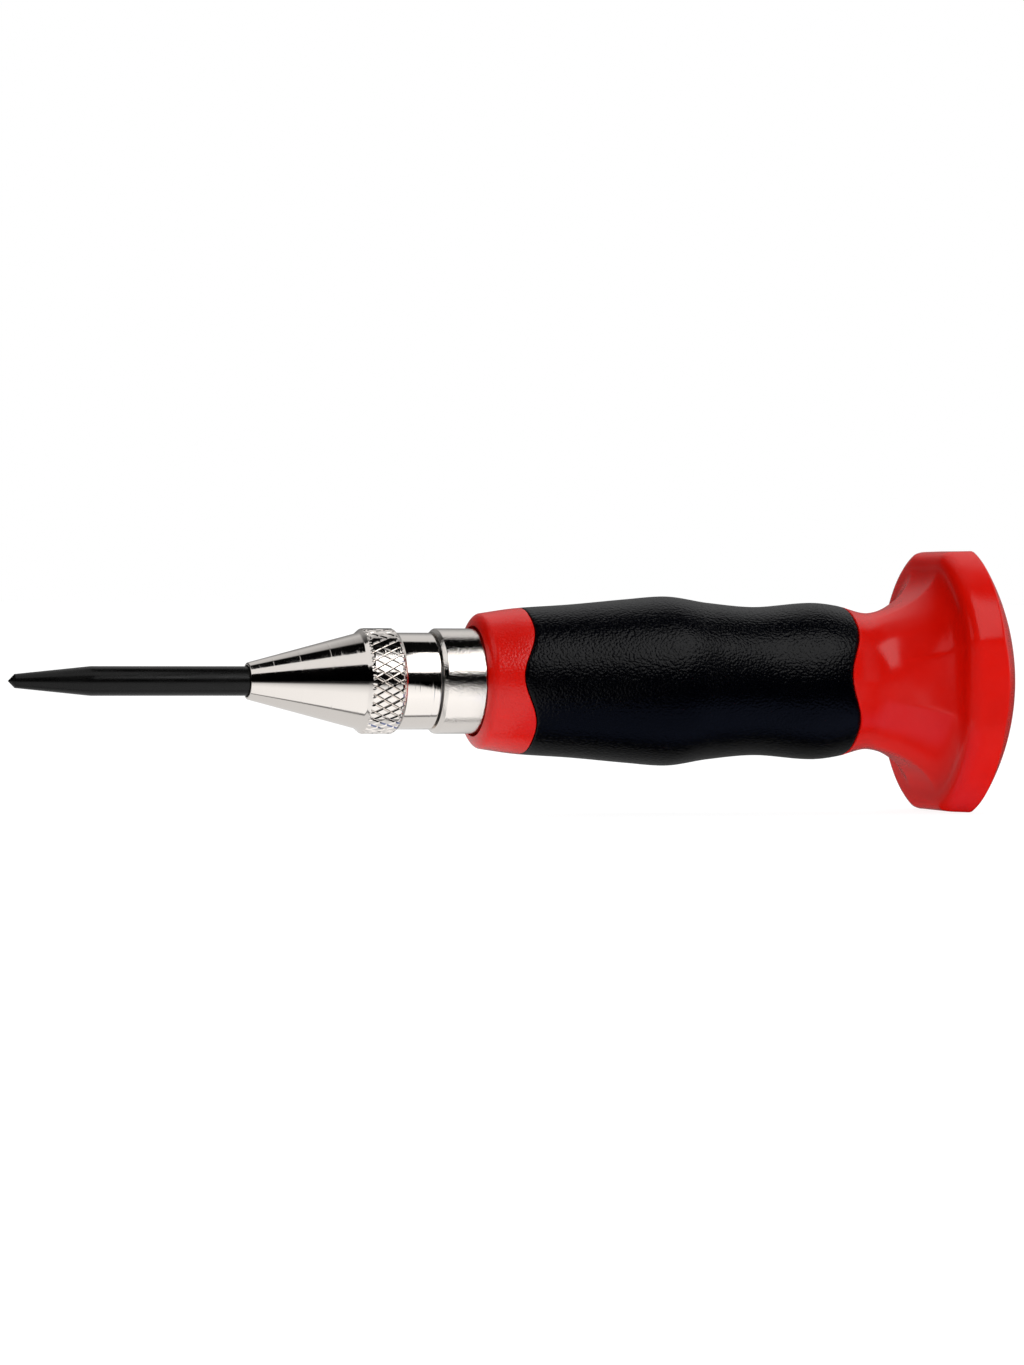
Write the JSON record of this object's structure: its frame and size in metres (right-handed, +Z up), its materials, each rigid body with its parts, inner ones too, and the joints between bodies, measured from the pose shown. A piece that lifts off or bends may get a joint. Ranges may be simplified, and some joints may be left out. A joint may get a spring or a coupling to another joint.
{
  "type": "automatic centre punch",
  "caption": "Spring-loaded automatic centre punch: dark steel point, knurled plated nose, short barrel and a two-component handle with a flared palm knob.",
  "frame": {"origin": "on the tool's axis, midway between the tip of the point and the top of the palm knob", "axes": "+X along the tool from the point to the palm knob, +Z up with the tool lying level, the sear stands out towards +Z"},
  "size_m": [0.142, 0.0364, 0.0364],
  "materials": {
    "black_steel": "black oxide",
    "nickel_plate": "bright plated",
    "satin_nickel": "satin plated",
    "inner_steel": "turned, bare",
    "spring_wire": "drawn wire",
    "red_plastic": "moulded, semi-gloss",
    "black_rubber": "soft over-mould, fine grain"
  },
  "bodies": {
    "handle": {"barrel": "satin_nickel", "thread_bush": "inner_steel", "end_plug": "inner_steel", "handle_core": "red_plastic", "grip_sleeve": "black_rubber", "main_spring": "spring_wire", "return_spring": "spring_wire"},
    "spindle": {"punch_point": "black_steel", "drive_spindle": "inner_steel"},
    "hammer": {"hammer": "inner_steel", "sear_spring": "spring_wire"},
    "sear": {"sear": "inner_steel"},
    "nose": {"nose_cone": "nickel_plate"}
  },
  "joints": [
    {"name": "point_slide", "type": "slide", "parent": "handle", "child": "spindle", "axis": [1, 0, 0], "range_m": [0, 0.009], "stiffness_N_per_m": 4800, "deforming": ["return_spring"]},
    {"name": "hammer_slide", "type": "slide", "parent": "handle", "child": "hammer", "axis": [1, 0, 0], "range_m": [0, 0.009], "deforming": ["main_spring"]},
    {"name": "sear_slide", "type": "slide", "parent": "hammer", "child": "sear", "axis": [0, 0, -1], "range_m": [0, 0.001], "deforming": ["sear_spring"]},
    {"name": "nose_turn", "type": "hinge", "parent": "handle", "child": "nose", "pos_m": [-0.025, 0, 0], "axis": [-1, 0, 0], "range_deg": [0, 360]}
  ],
  "couplings": [
    {"joint": "hammer_slide", "follows": "point_slide", "ratio": 1},
    {"joint": "sear_slide", "follows": "point_slide", "ratio": 0.111}
  ]
}
